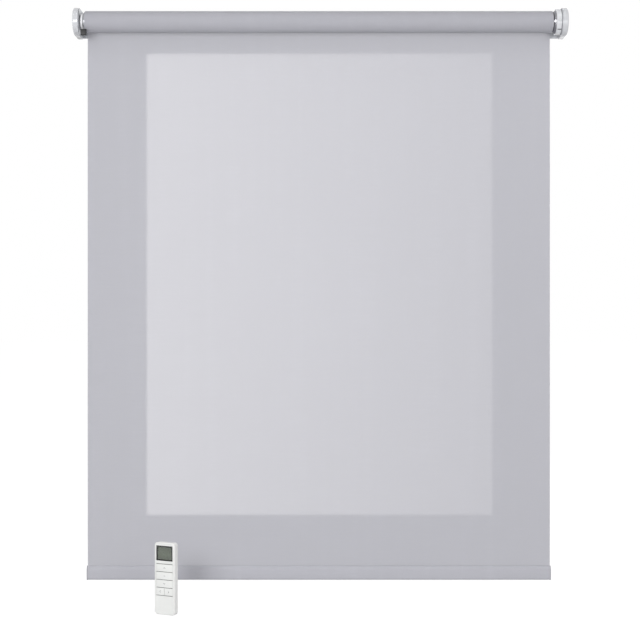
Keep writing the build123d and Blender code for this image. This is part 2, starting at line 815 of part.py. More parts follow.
def battery_cover():
    middle = Pos(0, cell_height)
    disc = panel(middle * Circle(twist_radius), back_outer - twist_thick, back_outer)
    length, breadth, depth = twist_slot
    disc -= panel(middle * Rectangle(length, breadth), back_outer - depth, back_outer)
    cell_rear = circuit_rear + contact_thick + cell_disc_thick
    pad = Rectangle(cell_disc_radius, cell_disc_radius)
    return disc + panel(middle * pad, cell_rear + fit, back_outer - twist_thick)


def handset_screws():
    group = []
    head, thick = small_screw_head
    tip = back_inner - small_screw_length + fit
    for place in boss_places():
        shank = panel(Pos(place) * eight_sided(small_screw_radius), tip, back_outer - thick)
        group.append(shank + panel(Pos(place) * eight_sided(head), back_outer - thick, back_outer))
    return Compound(children=group)


def place_remote(shape):
    across, forward = remote_at
    return Pos(across, forward, floor_level) * Rot(0, 0, remote_turn) * shape


def build_blind():
    left_cap = (cloth_left - hem_cap_thick, cloth_left, cloth_left, cloth_left + hem_tongue)
    right_cap = (cloth_right, cloth_right + hem_cap_thick, cloth_right - hem_tongue, cloth_right)
    return {
        "bracket_left": bracket_left(),
        "bracket_right": bracket_right(),
        "cover_left": mirror(cover(), Plane.YZ),
        "cover_right": cover(),
        "pin_latch": pin_latch(),
        "latch_grip": latch_grip(),
        "roller_tube": tube(),
        "wound_cloth": wound_cloth(),
        "cloth_tape": cloth_tape(),
        "hanging_cloth": hanging_cloth(),
        "hem_pocket": hem_pocket(),
        "hem_bar": hem_bar(),
        "hem_cap_left": hem_cap(*left_cap),
        "hem_cap_right": hem_cap(*right_cap),
        "idler_plug": idler_plug(),
        "idler_bush": idler_bush(),
        "idler_pin": idler_pin(),
        "idler_spring": idler_spring(),
        "motor_head": motor_head(),
        "head_screws": head_screws(),
        "setting_button": setting_button(),
        "status_light": status_light(),
        "charging_socket": charging_socket(),
        "motor_crown": motor_crown(),
        "motor_case": motor_case(),
        "control_board": control_board(),
        "battery_pack": battery_pack(),
        "dc_motor": dc_motor(),
        "gearbox": gearbox(),
        "end_bearing": end_bearing(),
        "output_shaft": output_shaft(),
        "drive_wheel": drive_wheel(),
        "drive_clip": drive_clip(),
    }


def build_remote():
    side = key_width / 2
    return {
        "handset_frame": handset_frame(),
        "handset_back": handset_back(),
        "face_plate": face_plate(),
        "key_up": key(3, -side, side),
        "key_stop": key(2, -side, side),
        "key_down": key(1, -side, side),
        "key_previous": key(0, -side, -key_split / 2),
        "key_next": key(0, key_split / 2, side),
        "key_grille": key_grille(),
        "display_bezel": display_bezel(),
        "display_lens": display_lens(),
        "display_panel": display_panel(),
        "dome_mat": dome_mat(),
        "handset_board": handset_board(),
        "battery_contacts": battery_contacts(),
        "coin_cell": coin_cell(),
        "battery_cover": battery_cover(),
        "handset_screws": handset_screws(),
    }


pieces = build_blind()
for name, shape in build_remote().items():
    pieces[name] = place_remote(shape)
os.makedirs("parts", exist_ok=True)
for name, shape in pieces.items():
    export_step(shape, os.path.join("parts", name + ".step"))
    print(name)
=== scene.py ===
import bpy
import json
import math
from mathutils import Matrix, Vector

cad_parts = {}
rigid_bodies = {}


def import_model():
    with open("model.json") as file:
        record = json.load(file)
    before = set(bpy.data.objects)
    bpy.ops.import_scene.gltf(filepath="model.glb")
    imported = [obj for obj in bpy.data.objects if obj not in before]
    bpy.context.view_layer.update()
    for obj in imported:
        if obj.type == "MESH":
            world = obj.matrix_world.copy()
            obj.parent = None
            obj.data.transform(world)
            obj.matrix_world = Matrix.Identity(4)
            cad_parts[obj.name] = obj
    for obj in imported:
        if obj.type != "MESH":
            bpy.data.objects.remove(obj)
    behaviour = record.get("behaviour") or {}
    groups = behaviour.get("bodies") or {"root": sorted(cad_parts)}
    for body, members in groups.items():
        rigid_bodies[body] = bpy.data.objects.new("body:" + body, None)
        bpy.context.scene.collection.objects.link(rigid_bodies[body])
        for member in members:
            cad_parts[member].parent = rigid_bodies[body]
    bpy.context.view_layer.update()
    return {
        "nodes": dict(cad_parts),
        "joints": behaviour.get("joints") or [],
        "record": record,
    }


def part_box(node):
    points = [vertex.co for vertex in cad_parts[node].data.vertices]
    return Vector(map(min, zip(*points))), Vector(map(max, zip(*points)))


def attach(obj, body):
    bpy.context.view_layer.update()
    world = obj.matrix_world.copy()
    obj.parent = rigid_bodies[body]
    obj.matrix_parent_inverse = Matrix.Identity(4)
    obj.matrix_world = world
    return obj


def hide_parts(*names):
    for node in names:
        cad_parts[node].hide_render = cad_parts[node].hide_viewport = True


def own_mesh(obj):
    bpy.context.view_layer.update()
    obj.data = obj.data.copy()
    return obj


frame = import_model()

# Motorised roller blind with its remote. Metres, Z up, the room on the -Y side of the wall.

for item in bpy.context.scene.objects:
    item.select_set(False)
bpy.context.view_layer.objects.active = None

nodeObjects = frame["nodes"]
nodesOfBody = frame["record"]["behaviour"]["bodies"]
bodyOfNode = {node: body for body, nodes in nodesOfBody.items() for node in nodes}
slotOfNode = {part["node"]: part["material_slot"] for part in frame["record"]["subparts"]}
jointNamed = {joint["name"]: joint for joint in frame["joints"]}
rollAxis = Vector(jointNamed["roller_turn"]["pos_m"])
print("frame loaded:", len(nodeObjects), "nodes")


# Materials
mixFactor, mixFirst, mixSecond, mixResult = 0, 6, 7, 2  # sockets of a Mix node that is set to colours


def hexColor(code):  # sRGB hex to the linear colour that sockets take
    channels = [int(code[i:i + 2], 16) / 255 for i in (0, 2, 4)]
    return [c / 12.92 if c <= 0.04045 else ((c + 0.055) / 1.055) ** 2.4 for c in channels] + [1.0]


def perMillimetre(size):  # texture scale for a feature of this size in millimetres
    return 1000.0 / size


def addNode(tree, kind, inputs=None, **settings):  # an input is a value, or the socket it is linked from
    node = tree.nodes.new(kind)
    for key, value in settings.items():
        setattr(node, key, value)
    for socket, value in (inputs or {}).items():
        if isinstance(value, bpy.types.NodeSocket):
            tree.links.new(value, node.inputs[socket])
        else:
            node.inputs[socket].default_value = value
    return node


def newMaterial(name):
    material = bpy.data.materials.new(name)
    material.use_nodes = True
    tree = material.node_tree
    tree.nodes.clear()
    place = addNode(tree, "ShaderNodeTexCoord").outputs["Object"]
    return material, tree, place


def linePattern(tree, place, scale, detail):  # noise drawn out along the axes with a low scale
    drawnOut = addNode(tree, "ShaderNodeMapping", {"Vector": place, "Scale": scale}).outputs["Vector"]
    lines = addNode(tree, "ShaderNodeTexNoise", {"Vector": drawnOut, "Scale": 1.0, "Detail": detail})
    return lines.outputs["Fac"]


def surfaceInputs(tree, look, tone, wander, relief):  # the patterns that move colour, roughness and height
    color = addNode(tree, "ShaderNodeMix", {mixFactor: tone, mixFirst: hexColor(look["color"]),
                                            mixSecond: hexColor(look["shade"])}, data_type="RGBA")
    rough = addNode(tree, "ShaderNodeMapRange", {"Value": wander,
                                                 "To Min": look["rough"] - look["roughSpread"],
                                                 "To Max": look["rough"] + look["roughSpread"]})
    bump = addNode(tree, "ShaderNodeBump", {"Height": relief, "Strength": look["relief"],
                                            "Distance": look["reliefDepth"]})
    return {"Base Color": color.outputs[mixResult], "Roughness": rough.outputs["Result"],
            "Normal": bump.outputs["Normal"]}


def mouldedPlastic(name, look):
    # A moulded skin: faint cloudiness in the colour, a fine eroded grain, and roughness that wanders a
    # little, so that highlights are soft and never mirror-flat
    material, tree, place = newMaterial(name)
    clouds = addNode(tree, "ShaderNodeTexNoise", {"Vector": place, "Scale": perMillimetre(look["cloudMm"]),
                                                  "Detail": 4}).outputs["Fac"]
    grain = addNode(tree, "ShaderNodeTexNoise", {"Vector": place, "Scale": perMillimetre(look["grainMm"]),
                                                 "Detail": 2}).outputs["Fac"]
    surface = surfaceInputs(tree, look, clouds, clouds, grain)
    shader = addNode(tree, "ShaderNodeBsdfPrincipled", {**surface, "IOR": look["ior"]})
    addNode(tree, "ShaderNodeOutputMaterial", {"Surface": shader.outputs["BSDF"]})
    return material


plasticSkin = {"reliefDepth": 0.0001}  # metres, the same on every plastic
plasticLooks = {
    # High-gloss ABS covers: bright, smooth, with sharp long highlights
    "glossWhiteAbs": dict(color="CBCCD0", shade="C3C5C9", cloudMm=35, grainMm=4, relief=0.05,
                          rough=0.19, roughSpread=0.03, ior=1.54),
    # The same plastic a tone whiter, in the motor head and its button; the extra white is painted light
    "whiterGlossAbs": dict(color="D8D9DD", shade="D0D1D5", cloudMm=35, grainMm=4, relief=0.05,
                           rough=0.19, roughSpread=0.03, ior=1.54),
    # The same plastic in grey, in the idler plug and the latch under it; the grey is painted shade of the
    # recess between the bracket and the roll
    "greyGlossAbs": dict(color="A4A5A9", shade="98999E", cloudMm=30, grainMm=4, relief=0.05,
                         rough=0.2, roughSpread=0.04, ior=1.54),
    # Acetal of the collar on the idler plug: the whitest piece, slick from its mould
    "brightWhiteAcetal": dict(color="F2F2F4", shade="EBEBEE", cloudMm=15, grainMm=3, relief=0.05,
                              rough=0.25, roughSpread=0.04, ior=1.48),
    # Glass-filled nylon: black, dull on flats with a slight sheen on its edges
    "blackNylon": dict(color="161618", shade="101012", cloudMm=12, grainMm=0.5, relief=0.35,
                       rough=0.5, roughSpread=0.06, ior=1.48),
    # Grey polypropylene end caps: waxy and soft in tone
    "greyPolypropylene": dict(color="A2A2A8", shade="94949B", cloudMm=14, grainMm=0.6, relief=0.3,
                              rough=0.5, roughSpread=0.07, ior=1.49),
    # Natural nylon bush: warm off-white, a little translucent to the eye
    "naturalNylon": dict(color="E4E0D2", shade="D8D2C0", cloudMm=6, grainMm=0.8, relief=0.2,
                         rough=0.45, roughSpread=0.06, ior=1.53),
    # Satin ABS remote body: white, fine spark-eroded grain, soft highlight on the edges
    "satinWhiteAbs": dict(color="EFEFED", shade="E7E7E5", cloudMm=25, grainMm=0.35, relief=0.2,
                          rough=0.38, roughSpread=0.05, ior=1.54),
    # Face plate: the same plastic a tone greyer, sprayed matt
    "mattGreyFace": dict(color="E6E7E5", shade="E0E1DF", cloudMm=20, grainMm=0.3, relief=0.22,
                         rough=0.55, roughSpread=0.05, ior=1.5),
    # Keys: moulded in the face's colour, a little smoother from use
    "keyPolycarbonate": dict(color="E8E9E7", shade="E3E4E2", cloudMm=9, grainMm=0.3, relief=0.15,
                             rough=0.46, roughSpread=0.06, ior=1.58),
    # Gloss black acrylic round the display
    "blackAcrylic": dict(color="141416", shade="0E0E10", cloudMm=10, grainMm=3, relief=0.03,
                         rough=0.12, roughSpread=0.03, ior=1.49),
    # Silicone key mat: dark, rubbery, no clear highlight
    "darkSilicone": dict(color="2B2B2E", shade="232326", cloudMm=8, grainMm=0.4, relief=0.3,
                         rough=0.75, roughSpread=0.06, ior=1.43),
    # The same rubber in mid grey, as a band round the motor head; its grey is painted shade of the gap
    # between the head and the cover
    "greySilicone": dict(color="77787C", shade="6C6D71", cloudMm=8, grainMm=0.4, relief=0.2,
                         rough=0.6, roughSpread=0.06, ior=1.43),
    # Paper-backed adhesive tape: cream, fibrous and dull
    "creamTape": dict(color="D9D0B4", shade="CBC19F", cloudMm=18, grainMm=0.9, relief=0.3,
                      rough=0.7, roughSpread=0.08, ior=1.45),
    # PVC shrink wrap on the cells: smooth blue film with slight puckers
    "blueShrinkWrap": dict(color="2F5E9E", shade="274F88", cloudMm=15, grainMm=5, relief=0.3,
                           rough=0.25, roughSpread=0.06, ior=1.52),
    # Pad-printed ink of the key marks: dark grey, matt
    "greyPadInk": dict(color="4C4D4F", shade="444547", cloudMm=3, grainMm=0.2, relief=0.15,
                       rough=0.6, roughSpread=0.05, ior=1.5),
}
finish = {name: mouldedPlastic(name, {**plasticSkin, **look}) for name, look in plasticLooks.items()}


def workedMetal(name, look):
    # Bare metal: fine lines left by the die, the lathe or the brush, which stretch the highlight across them
    material, tree, place = newMaterial(name)
    lines = linePattern(tree, place, look["lineScale"], detail=3)
    stains = addNode(tree, "ShaderNodeTexNoise", {"Vector": place, "Scale": perMillimetre(look["stainMm"]),
                                                  "Detail": 4}).outputs["Fac"]
    surface = surfaceInputs(tree, look, stains, lines, lines)
    shader = addNode(tree, "ShaderNodeBsdfPrincipled", {**surface, "Metallic": look["metallic"]})
    addNode(tree, "ShaderNodeOutputMaterial", {"Surface": shader.outputs["BSDF"]})
    return material


metalSkin = {"metallic": 1.0, "reliefDepth": 0.00008, "roughSpread": 0.08}  # unless a metal has its own
metalLooks = {
    # Extruded aluminium, clear anodised: satin, with die lines along the tube
    "anodisedAluminium": dict(color="B4B5B9", shade="A8A9AE", lineScale=(4, 1800, 1800), relief=0.25,
                              stainMm=40, rough=0.32),
    # Zinc-plated turned steel: bright, with lathe rings round the axis
    "platedSteel": dict(color="C4C5C7", shade="AEB0B4", lineScale=(2500, 120, 120), relief=0.3,
                        stainMm=9, rough=0.26),
    # Zinc-plated sheet, dulled by its chalky passivated skin: mid grey, soft and slightly blotched
    "zincPlatedSheet": dict(color="D0D2D6", shade="C4C6CA", lineScale=(500, 500, 90), relief=0.12,
                            stainMm=6, rough=0.5, metallic=0.2),
    # Vacuum-metallised plastic, smoked, of the motor's crown: a dark mirror, slightly soft
    "smokedMetallising": dict(color="909095", shade="85858A", lineScale=(80, 80, 80), relief=0.02,
                              stainMm=20, rough=0.2),
    # Turned brass: warm, with fine rings
    "turnedBrass": dict(color="C9A25A", shade="B48C46", lineScale=(2200, 150, 150), relief=0.25,
                        stainMm=7, rough=0.28),
}
finish.update({name: workedMetal(name, {**metalSkin, **look}) for name, look in metalLooks.items()})


def powderCoat(name, look):
    # Powder coat: even colour with the pebbled orange-peel skin of baked powder, so highlights break up
    material, tree, place = newMaterial(name)
    peel = addNode(tree, "ShaderNodeTexNoise", {"Vector": place, "Scale": perMillimetre(look["peelMm"]),
                                                "Detail": 2}).outputs["Fac"]
    clouds = addNode(tree, "ShaderNodeTexNoise", {"Vector": place, "Scale": perMillimetre(look["cloudMm"]),
                                                  "Detail": 3}).outputs["Fac"]
    shader = addNode(tree, "ShaderNodeBsdfPrincipled", surfaceInputs(tree, look, clouds, peel, peel))
    addNode(tree, "ShaderNodeOutputMaterial", {"Surface": shader.outputs["BSDF"]})
    return material


motorCaseLook = {"color": "46474A", "shade": "38393C", "peelMm": 0.9, "cloudMm": 30, "relief": 0.3,
                 "reliefDepth": 0.00015, "rough": 0.48, "roughSpread": 0.06}
finish["darkPowderCoat"] = powderCoat("darkPowderCoat", motorCaseLook)

clothLook = {
    "color": "AEAEB5",       # coated face, pale grey with a little blue
    "shade": "A8A8AF",
    "crossing": "A8A8B0",    # tint where threads cross
    "crossingShare": 0.35,
    "threadMm": 0.9,         # really about 0.35 mm apart, drawn coarser so that a close view shows them
    "waver": 0.3,            # how far the threads stray from straight
    "relief": 0.3,
    "reliefDepth": 0.00012,
    "slubMm": (45, 3),       # long and short side of the faint streaks along the weft
    "bandMm": 26,            # soft upright bands from the warp beam
    "streakShare": 0.9,      # how strongly streaks and bands move the colour to its shade
    "rough": 0.82,
    "sheen": 0.1,
    "glow": "F4F4F6",        # the white pigment, seen where light passes through
    "through": 0.5,          # share of light that passes to the other face
}
# On the roll the cloth lies layer on layer, and in the hem two layers lie over the bar: both fuller in tone
woundLook = {**clothLook, "color": "BCBCC3", "shade": "B6B6BD", "through": 0.2,
             "rollRadius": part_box("wound_cloth")[1].z - rollAxis.z}
hemLook = {**clothLook, "color": "C3C3CA", "shade": "BDBDC4", "through": 0.1}


def unrolled(tree, place, radius):  # place along the roll and round it, with the join at its back
    parts = addNode(tree, "ShaderNodeSeparateXYZ", {"Vector": place})
    outward = addNode(tree, "ShaderNodeMath", {0: rollAxis.y, 1: parts.outputs["Y"]}, operation="SUBTRACT")
    upward = addNode(tree, "ShaderNodeMath", {0: parts.outputs["Z"], 1: rollAxis.z}, operation="SUBTRACT")
    turn = addNode(tree, "ShaderNodeMath", {0: upward.outputs[0], 1: outward.outputs[0]}, operation="ARCTAN2")
    around = addNode(tree, "ShaderNodeMath", {0: turn.outputs[0], 1: radius}, operation="MULTIPLY")
    flat = addNode(tree, "ShaderNodeCombineXYZ", {"X": parts.outputs["X"], "Z": around.outputs[0]})
    return flat.outputs["Vector"]


def coatedWeave(name, look):
    # Acrylic-coated polyester plain weave: flat and chalky, with a barely seen thread grid and faint
    # streaks, and it glows where light stands behind it
    material, tree, place = newMaterial(name)
    if "rollRadius" in look:
        place = unrolled(tree, place, look["rollRadius"])
    waveScale = perMillimetre(look["threadMm"]) * math.pi / 10  # a wave texture repeats after pi / 10
    threads = {"Vector": place, "Scale": waveScale, "Distortion": look["waver"]}
    warp = addNode(tree, "ShaderNodeTexWave", threads, bands_direction="X").outputs["Fac"]
    weft = addNode(tree, "ShaderNodeTexWave", threads, bands_direction="Z").outputs["Fac"]
    weave = addNode(tree, "ShaderNodeMath", {0: warp, 1: weft}, operation="MULTIPLY").outputs[0]
    slubLong, slubShort = [perMillimetre(size) for size in look["slubMm"]]
    slub = linePattern(tree, place, (slubLong, slubShort, slubShort), detail=3)
    band = linePattern(tree, place, (perMillimetre(look["bandMm"]), 1.0, 1.0), detail=2)
    streaks = addNode(tree, "ShaderNodeMath", {0: slub, 1: band}, operation="ADD").outputs[0]
    shadeShare = addNode(tree, "ShaderNodeMapRange", {"Value": streaks, "To Min": -look["streakShare"],
                                                      "To Max": look["streakShare"]})
    streaked = addNode(tree, "ShaderNodeMix", {mixFactor: shadeShare.outputs["Result"],
                                               mixFirst: hexColor(look["color"]),
                                               mixSecond: hexColor(look["shade"])}, data_type="RGBA")
    crossingShare = addNode(tree, "ShaderNodeMapRange", {"Value": weave, "To Max": look["crossingShare"]})
    color = addNode(tree, "ShaderNodeMix", {mixFactor: crossingShare.outputs["Result"],
                                            mixFirst: streaked.outputs[mixResult],
                                            mixSecond: hexColor(look["crossing"])},
                    data_type="RGBA", blend_type="MULTIPLY")
    bump = addNode(tree, "ShaderNodeBump", {"Height": weave, "Strength": look["relief"],
                                            "Distance": look["reliefDepth"]})
    front = addNode(tree, "ShaderNodeBsdfPrincipled", {
        "Base Color": color.outputs[mixResult], "Roughness": look["rough"], "Sheen Weight": look["sheen"],
        "Normal": bump.outputs["Normal"]})
    back = addNode(tree, "ShaderNodeBsdfTranslucent", {"Color": hexColor(look["glow"])})
    both = addNode(tree, "ShaderNodeMixShader", {0: look["through"], 1: front.outputs["BSDF"],
                                                 2: back.outputs["BSDF"]})
    addNode(tree, "ShaderNodeOutputMaterial", {"Surface": both.outputs[0]})
    return material


weaveLooks = {"coatedPolyesterWeave": clothLook, "rolledPolyesterWeave": woundLook,
              "doubledPolyesterWeave": hemLook}
finish.update({name: coatedWeave(name, look) for name, look in weaveLooks.items()})

boardLook = {"scale": 260, "mask": "1F5A38", "maskPale": "25663F", "track": "3F8A5A", "trackShare": 0.03,
             "rough": 0.3}


def solderMask(name, look):
    # Glass-epoxy board under green solder mask: glossy film with paler copper tracks beneath
    material, tree, place = newMaterial(name)
    spacing = addNode(tree, "ShaderNodeMapping", {"Vector": place, "Scale": (look["scale"],) * 3})
    tracks = addNode(tree, "ShaderNodeTexBrick", {
        "Vector": spacing.outputs["Vector"], "Scale": 1.0, "Color1": hexColor(look["mask"]),
        "Color2": hexColor(look["maskPale"]), "Mortar": hexColor(look["track"]),
        "Mortar Size": look["trackShare"]})
    shader = addNode(tree, "ShaderNodeBsdfPrincipled", {"Base Color": tracks.outputs["Color"],
                                                        "Roughness": look["rough"]})
    addNode(tree, "ShaderNodeOutputMaterial", {"Surface": shader.outputs["BSDF"]})
    return material


displayLook = {"color": "56604F", "shade": "48533F", "mottleMm": 14, "rough": 0.3}


def liquidCrystal(name, look):
    # Unlit liquid crystal: grey-green polariser film, slightly uneven, under smooth glass
    material, tree, place = newMaterial(name)
    mottle = addNode(tree, "ShaderNodeTexNoise", {"Vector": place, "Scale": perMillimetre(look["mottleMm"]),
                                                  "Detail": 2}).outputs["Fac"]
    color = addNode(tree, "ShaderNodeMix", {mixFactor: mottle, mixFirst: hexColor(look["color"]),
                                            mixSecond: hexColor(look["shade"])}, data_type="RGBA")
    shader = addNode(tree, "ShaderNodeBsdfPrincipled", {"Base Color": color.outputs[mixResult],
                                                        "Roughness": look["rough"]})
    addNode(tree, "ShaderNodeOutputMaterial", {"Surface": shader.outputs["BSDF"]})
    return material


acrylicSkin = {"waveMm": 9, "relief": 0.05, "reliefDepth": 0.0001, "ior": 1.49}
acrylicLooks = {
    "clearAcrylic": dict(color="FBFCFB", rough=0.03),       # display window, polished
    "frostedLightPipe": dict(color="E4F0E6", rough=0.35),   # status light, etched to spread its light
}


def clearMoulding(name, look):
    # Clear moulded window: seen by its reflections and its edges
    material, tree, place = newMaterial(name)
    wave = addNode(tree, "ShaderNodeTexNoise", {"Vector": place, "Scale": perMillimetre(look["waveMm"]),
                                                "Detail": 1}).outputs["Fac"]
    bump = addNode(tree, "ShaderNodeBump", {"Height": wave, "Strength": look["relief"],
                                            "Distance": look["reliefDepth"]})
    shader = addNode(tree, "ShaderNodeBsdfPrincipled", {
        "Base Color": hexColor(look["color"]), "Roughness": look["rough"], "IOR": look["ior"],
        "Transmission Weight": 1.0, "Normal": bump.outputs["Normal"]})
    addNode(tree, "ShaderNodeOutputMaterial", {"Surface": shader.outputs["BSDF"]})
    return material


finish["greenSolderMask"] = solderMask("greenSolderMask", boardLook)
finish["liquidCrystal"] = liquidCrystal("liquidCrystal", displayLook)
finish.update({name: clearMoulding(name, {**acrylicSkin, **look}) for name, look in acrylicLooks.items()})

finishOfSlot = {
    "bracket_steel": "zincPlatedSheet", "cover_plastic": "glossWhiteAbs", "black_plastic": "blackNylon",
    "cap_plastic": "greyPolypropylene", "aluminium": "anodisedAluminium",
    "blind_cloth": "coatedPolyesterWeave", "adhesive_tape": "creamTape", "bush_nylon": "naturalNylon",
    "bright_steel": "platedSteel", "case_steel": "darkPowderCoat", "light_pipe": "frostedLightPipe",
    "circuit_board": "greenSolderMask", "battery_wrap": "blueShrinkWrap", "bearing_brass": "turnedBrass",
    "handset_plastic": "satinWhiteAbs", "face_plastic": "mattGreyFace", "key_plastic": "keyPolycarbonate",
    "black_gloss": "blackAcrylic", "clear_lens": "clearAcrylic", "display_glass": "liquidCrystal",
    "dark_rubber": "darkSilicone",
}
finishOfNode = {  # where a node differs from the rest of its slot
    "motor_crown": "smokedMetallising", "idler_plug": "greyGlossAbs", "pin_latch": "greyGlossAbs",
    "wound_cloth": "rolledPolyesterWeave", "hem_pocket": "doubledPolyesterWeave",
    "motor_head": "whiterGlossAbs", "setting_button": "whiterGlossAbs",
}


def materialOf(node):
    return finish[finishOfNode.get(node, finishOfSlot[slotOfNode[node]])]


def paint(piece, material):
    piece.data.materials.clear()
    piece.data.materials.append(material)


for node, piece in nodeObjects.items():
    paint(piece, materialOf(node))
print("materials:", len(finish))

# Helpers for modelling
nearly = 1e-4  # metres, places closer than this count as one
facing = 0.9  # a face looks along a direction where its normal has this share of it


def newPiece(name):
    piece = bpy.context.object
    piece.name = name
    piece.data.name = name
    return piece


def applyPlace(piece):
    bpy.ops.object.select_all(action="DESELECT")
    piece.select_set(True)
    bpy.context.view_layer.objects.active = piece
    bpy.ops.object.transform_apply(location=True, rotation=True, scale=True)


def addModifier(piece, kind, **settings):  # added and applied at once
    modifier = piece.modifiers.new(kind.title(), kind)
    for key, value in settings.items():
        setattr(modifier, key, value)
    bpy.context.view_layer.objects.active = piece
    bpy.ops.object.modifier_apply(modifier=modifier.name)


def roundEdges(piece, width, sharperThan, segments=2):  # metres, degrees
    addModifier(piece, "BEVEL", width=width, segments=segments, limit_method="ANGLE",
                angle_limit=math.radians(sharperThan))


def smoothBelow(degrees):  # shades smooth over every edge that turns by less than this
    bpy.ops.object.shade_smooth_by_angle(angle=math.radians(degrees))


def ripple(piece, name, waveSize, detail, height, shareAt):  # soft waves along Y, as strong as shareAt says
    texture = bpy.data.textures.new(name, "CLOUDS")
    texture.noise_scale = waveSize
    texture.noise_depth = detail
    group = piece.vertex_groups.new(name=name)
    for vertex in piece.data.vertices:
        group.add([vertex.index], shareAt(vertex.co), "REPLACE")
    addModifier(piece, "DISPLACE", texture=texture, texture_coords="LOCAL", direction="Y", mid_level=0.5,
                strength=height, vertex_group=group.name)
    piece.vertex_groups.clear()


def pick(piece, kind, test):  # in edit mode, selects just the vertices, edges or faces that pass the test
    bpy.ops.mesh.select_mode(type=kind)
    bpy.ops.mesh.select_all(action="DESELECT")
    bpy.ops.object.mode_set(mode="OBJECT")
    items = {"VERT": piece.data.vertices, "EDGE": piece.data.edges, "FACE": piece.data.polygons}[kind]
    for item in items:
        item.select = test(item)
    bpy.ops.object.mode_set(mode="EDIT")


def settle(piece, node):  # the piece takes the node's finish, slot and body
    paint(piece, materialOf(node))
    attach(piece, bodyOfNode[node])


# Rigid nodes that get softened edges
softEdges = {  # millimetres
    "cover_left": 0.7, "cover_right": 0.7, "bracket_left": 0.35, "bracket_right": 0.35,
    "motor_head": 0.35, "motor_crown": 0.25, "idler_plug": 0.2, "pin_latch": 0.3, "latch_grip": 0.4,
    "hem_cap_left": 0.3, "hem_cap_right": 0.3, "idler_pin": 0.15, "idler_spring": 0.25,
    "setting_button": 0.2, "head_screws": 0.3, "handset_frame": 0.35, "handset_back": 0.35,
    "face_plate": 0.06, "display_bezel": 0.08, "battery_cover": 0.15,
    "key_up": 0.08, "key_stop": 0.08, "key_down": 0.08, "key_previous": 0.08, "key_next": 0.08,
}
softSettings = {"merge": 1e-6, "flatWithin": 1, "sharperThan": 28, "smoothBelow": 24}  # metres, degrees


def camelName(node):
    first, *rest = node.split("_")
    return first + "".join(word.title() for word in rest)


def softenNode(node, edgeMm):
    piece = nodeObjects[node].copy()
    piece.data = nodeObjects[node].data.copy()
    for key in list(piece.keys()):  # the frame's tags stay with the node
        del piece[key]
    piece.parent = None
    bpy.context.scene.collection.objects.link(piece)
    piece.name = camelName(node)
    applyPlace(piece)
    bpy.ops.object.mode_set(mode="EDIT")
    bpy.ops.mesh.select_all(action="SELECT")
    bpy.ops.mesh.remove_doubles(threshold=softSettings["merge"])
    bpy.ops.mesh.dissolve_limited(angle_limit=math.radians(softSettings["flatWithin"]))
    bpy.ops.object.mode_set(mode="OBJECT")
    roundEdges(piece, edgeMm / 1000, softSettings["sharperThan"])
    smoothBelow(softSettings["smoothBelow"])
    settle(piece, node)
    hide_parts(node)
    piece.select_set(False)
    return piece


dressed = {node: softenNode(node, edge) for node, edge in softEdges.items()}
print("softened edges:", len(dressed))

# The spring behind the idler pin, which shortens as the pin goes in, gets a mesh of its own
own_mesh(dressed["idler_spring"])


# Roller tube and the bands that ring the roll axis
def makeRing(name, start, width, radius, wall, sides):  # open at both ends, its wall inside the radius
    bpy.ops.mesh.primitive_cylinder_add(vertices=sides, radius=radius, depth=width, end_fill_type="NOTHING",
                                        location=(start + width / 2, rollAxis.y, rollAxis.z),
                                        rotation=(0, math.pi / 2, 0))
    piece = newPiece(name)
    applyPlace(piece)
    addModifier(piece, "SOLIDIFY", thickness=wall, offset=-1)
    return piece


tubeSettings = {"sides": 96, "wall": 0.001, "ribHalf": 0.0013, "ribHeight": 0.002,  # metres
                "smoothBelow": 30}  # degrees


def makeRollerTube():  # the rib along its bore carries the drive wheel
    low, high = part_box("roller_tube")
    radius = high.z - rollAxis.z
    wallMiddle = radius - tubeSettings["wall"] / 2
    piece = makeRing("rollerTube", low.x, high.x - low.x, radius, tubeSettings["wall"], tubeSettings["sides"])
    bpy.ops.object.mode_set(mode="EDIT")
    pick(piece, "FACE", lambda face: abs(face.center.y - rollAxis.y) < tubeSettings["ribHalf"]
         and 0 < face.center.z - rollAxis.z < wallMiddle and abs(face.normal.x) < facing)
    bpy.ops.mesh.extrude_region_move(TRANSFORM_OT_translate={"value": (0, 0, -tubeSettings["ribHeight"])})
    bpy.ops.object.mode_set(mode="OBJECT")
    smoothBelow(tubeSettings["smoothBelow"])
    settle(piece, "roller_tube")
    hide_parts("roller_tube")


makeRollerTube()

# Collar on the plug's outer end, and a mid-grey band round the motor head beside the bracket's side plate,
# whose grey is painted shade of the gap between the head and the cover
bandLooks = {  # node that carries it, gap to the plug's end or the plate, size in metres, finish, slot
    "plugCollar": dict(on="idler_plug", gap=0.0004, width=0.0034, radius=0.0158, wall=0.0006,
                       finish="brightWhiteAcetal", slot="cover_plastic"),
    "headSeal": dict(on="motor_head", gap=0.0003, width=0.0018, radius=0.02625, wall=0.0004,
                     finish="greySilicone", slot="dark_rubber"),
}
bandSettings = {"sides": 96, "edge": 0.00015, "sharperThan": 40, "smoothBelow": 24, "sidePlate": 0.0025}


def makeBand(name, look):
    if look["on"] == "idler_plug":
        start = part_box("idler_plug")[0].x + look["gap"]
    else:
        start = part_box("bracket_right")[1].x - bandSettings["sidePlate"] - look["gap"] - look["width"]
    piece = makeRing(name, start, look["width"], look["radius"], look["wall"], bandSettings["sides"])
    roundEdges(piece, bandSettings["edge"], bandSettings["sharperThan"])
    smoothBelow(bandSettings["smoothBelow"])
    paint(piece, finish[look["finish"]])
    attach(piece, bodyOfNode[look["on"]])


for bandName, bandLook in bandLooks.items():
    makeBand(bandName, bandLook)

# Small black block set into the neck of the idler plug, at its front below the axis
darkBlockSettings = {"from": 0.0040, "along": 0.0024, "round": 0.0052, "thick": 0.0012, "out": 0.01565,
                 "rim": 0.0005, "sink": 0.0003, "edge": 0.00015,  # metres
                 "turn": -36, "sharperThan": 50, "smoothBelow": 30}  # degrees


